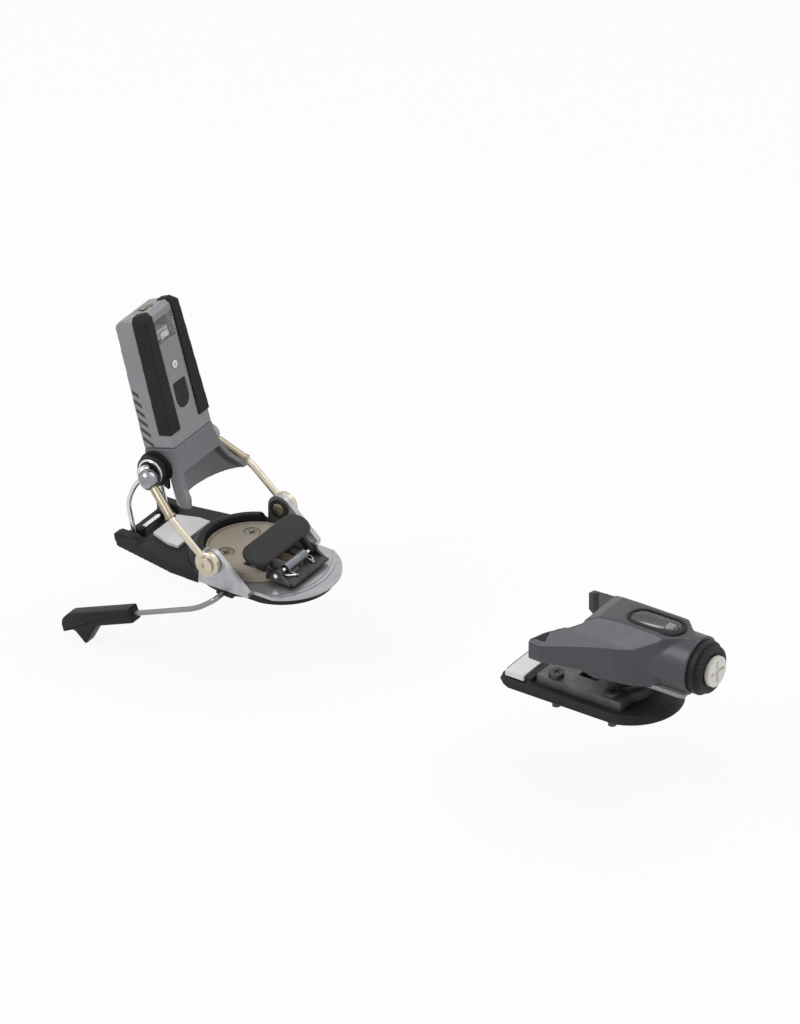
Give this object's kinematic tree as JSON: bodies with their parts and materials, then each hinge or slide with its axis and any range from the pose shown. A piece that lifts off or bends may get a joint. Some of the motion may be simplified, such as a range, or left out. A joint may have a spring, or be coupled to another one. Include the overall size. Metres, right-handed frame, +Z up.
{
  "type": "alpine ski binding",
  "caption": "Two-unit ski binding: a swivelling toe unit with wings and a turntable heel with side arms, a tilting heel tower, a rear bail and a sprung brake.",
  "frame": {"origin": "turntable axis at the top surface of the ski, at the centre of the heel screws", "axes": "+X forward to the ski's tip, +Y to the skier's left, +Z up"},
  "size_m": [0.4551, 0.11, 0.2261],
  "materials": {
    "black_plastic": "satin moulded plastic",
    "disc_plastic": "tan moulded plastic",
    "zinc_steel": "bright plated steel",
    "cast_plate": "satin bare metal with fine circular marks",
    "pad_plastic": "pale low-friction plastic",
    "dark_steel": "dark plated steel",
    "arm_steel": "warm bright plated steel",
    "chrome": "polished chrome",
    "tower_paint": "satin grey paint with dark slanted bars",
    "jaw_paint": "satin dark grey",
    "toe_paint": "satin dark grey paint",
    "window_clear": "clear window with pale strips",
    "indicator_white": "off-white plastic",
    "spring_steel": "dark spring steel"
  },
  "bodies": {
    "base": {"heel_base": "black_plastic", "centre_disc": "disc_plastic", "heel_screws": "zinc_steel", "brake_bracket": "dark_steel", "brake_hinge_pin": "chrome", "brake_spring": "zinc_steel", "toe_base": "black_plastic", "toe_screws": "zinc_steel", "slide_carriage": "dark_steel", "toe_chassis": "dark_steel", "toe_post": "zinc_steel"},
    "turntable": {"turntable": "cast_plate", "tail_block": "black_plastic", "tail_pad": "pad_plastic", "ear_bolts": "zinc_steel", "ear_caps": "dark_steel"},
    "arms": {"side_arm_left": "arm_steel", "side_arm_right": "arm_steel", "arm_sleeve_left": "arm_steel", "arm_sleeve_right": "arm_steel", "arm_carrier_left": "black_plastic", "arm_carrier_right": "black_plastic"},
    "tower": {"heel_axle": "chrome", "heel_jaw": "jaw_paint", "cam_plates": "black_plastic", "tower_housing": "tower_paint", "tower_rail_left": "black_plastic", "tower_rail_right": "black_plastic", "slot_plug": "black_plastic", "face_screw": "zinc_steel", "heel_window": "window_clear", "heel_spring": "spring_steel", "heel_piston": "zinc_steel"},
    "bail": {"rear_bail": "chrome", "bail_roller": "dark_steel"},
    "pressure_screw_left": {"pressure_screw_left": "chrome"},
    "pressure_screw_right": {"pressure_screw_right": "chrome"},
    "heel_setting_screw": {"heel_setting_screw": "dark_steel"},
    "heel_indicator": {"heel_indicator": "indicator_white"},
    "pedal": {"brake_pedal": "black_plastic"},
    "brake_arm_left": {"brake_wire_left": "zinc_steel", "brake_foot_left": "black_plastic"},
    "brake_arm_right": {"brake_wire_right": "zinc_steel", "brake_foot_right": "black_plastic"},
    "slide_pad": {"slide_pad": "pad_plastic"},
    "toe": {"toe_housing": "toe_paint", "wing_pads": "black_plastic", "toe_window": "window_clear", "toe_collar": "black_plastic", "toe_spring": "spring_steel", "toe_piston": "zinc_steel"},
    "toe_setting_screw": {"toe_setting_screw": "indicator_white"},
    "toe_indicator": {"toe_indicator": "indicator_white"}
  },
  "joints": [
    {"name": "turntable_swivel", "type": "hinge", "parent": "base", "child": "turntable", "pos_m": [0, 0, 0], "axis": [0, 0, 1], "range_deg": [-25, 25]},
    {"name": "arm_lift", "type": "hinge", "parent": "turntable", "child": "arms", "pos_m": [-0.0065, 0, 0.0225], "axis": [0, 1, 0], "range_deg": [0, 10]},
    {"name": "tower_tilt", "type": "hinge", "parent": "arms", "child": "tower", "pos_m": [-0.05954, 0, 0.06386], "axis": [0, 1, 0], "range_deg": [-55, 0]},
    {"name": "bail_swing", "type": "hinge", "parent": "turntable", "child": "bail", "pos_m": [-0.0787, 0, 0.007], "axis": [0, 1, 0], "range_deg": [0, 6]},
    {"name": "pressure_screw_left_turn", "type": "hinge", "parent": "arms", "child": "pressure_screw_left", "pos_m": [-0.05954, 0.0325, 0.06386], "axis": [-0.7733, -0.3019, 0.5576], "range_deg": [-180, 180]},
    {"name": "pressure_screw_right_turn", "type": "hinge", "parent": "arms", "child": "pressure_screw_right", "pos_m": [-0.05954, -0.0325, 0.06386], "axis": [-0.7733, 0.3019, 0.5576], "range_deg": [-180, 180]},
    {"name": "heel_setting", "type": "hinge", "parent": "tower", "child": "heel_setting_screw", "pos_m": [-0.08351, 0, 0.16109], "axis": [-0.2924, 0, 0.9563], "range_deg": [0, 1080]},
    {"name": "heel_indicator_slide", "type": "slide", "parent": "tower", "child": "heel_indicator", "axis": [-0.2924, 0, 0.9563], "range_m": [0, 0.006]},
    {"name": "brake_press", "type": "hinge", "parent": "base", "child": "pedal", "pos_m": [0.03, 0, 0.0148], "axis": [0, 1, 0], "range_deg": [-24, 0], "stiffness_Nm_per_rad": 2, "springref_deg": 34.38},
    {"name": "brake_arm_left_swing", "type": "hinge", "parent": "base", "child": "brake_arm_left", "pos_m": [0.003, 0.05, 0.0025], "axis": [0, 1, 0], "range_deg": [0, 19.2]},
    {"name": "brake_arm_right_swing", "type": "hinge", "parent": "base", "child": "brake_arm_right", "pos_m": [0.003, -0.05, 0.0025], "axis": [0, 1, 0], "range_deg": [0, 19.2]},
    {"name": "slide_pad_shift", "type": "slide", "parent": "base", "child": "slide_pad", "axis": [0, 1, 0], "range_m": [-0.006, 0.006], "stiffness_N_per_m": 800},
    {"name": "toe_swivel", "type": "hinge", "parent": "base", "child": "toe", "pos_m": [0.278, 0, 0], "axis": [0, 0, 1], "range_deg": [-25, 25], "stiffness_Nm_per_rad": 30},
    {"name": "toe_setting", "type": "hinge", "parent": "toe", "child": "toe_setting_screw", "pos_m": [0.333, 0, 0.0405], "axis": [1, 0, 0], "range_deg": [0, 1080]},
    {"name": "toe_indicator_slide", "type": "slide", "parent": "toe", "child": "toe_indicator", "axis": [1, 0, 0], "range_m": [0, 0.005]}
  ],
  "couplings": [
    {"joint": "tower_tilt", "follows": "arm_lift", "ratio": -5.5},
    {"joint": "bail_swing", "follows": "arm_lift", "ratio": 0.6},
    {"joint": "brake_arm_left_swing", "follows": "brake_press", "ratio": -0.8},
    {"joint": "brake_arm_right_swing", "follows": "brake_press", "ratio": -0.8},
    {"joint": "heel_setting", "follows": "heel_indicator_slide", "rad_per_m": 3141.2},
    {"joint": "toe_setting", "follows": "toe_indicator_slide", "rad_per_m": 3769.5}
  ]
}
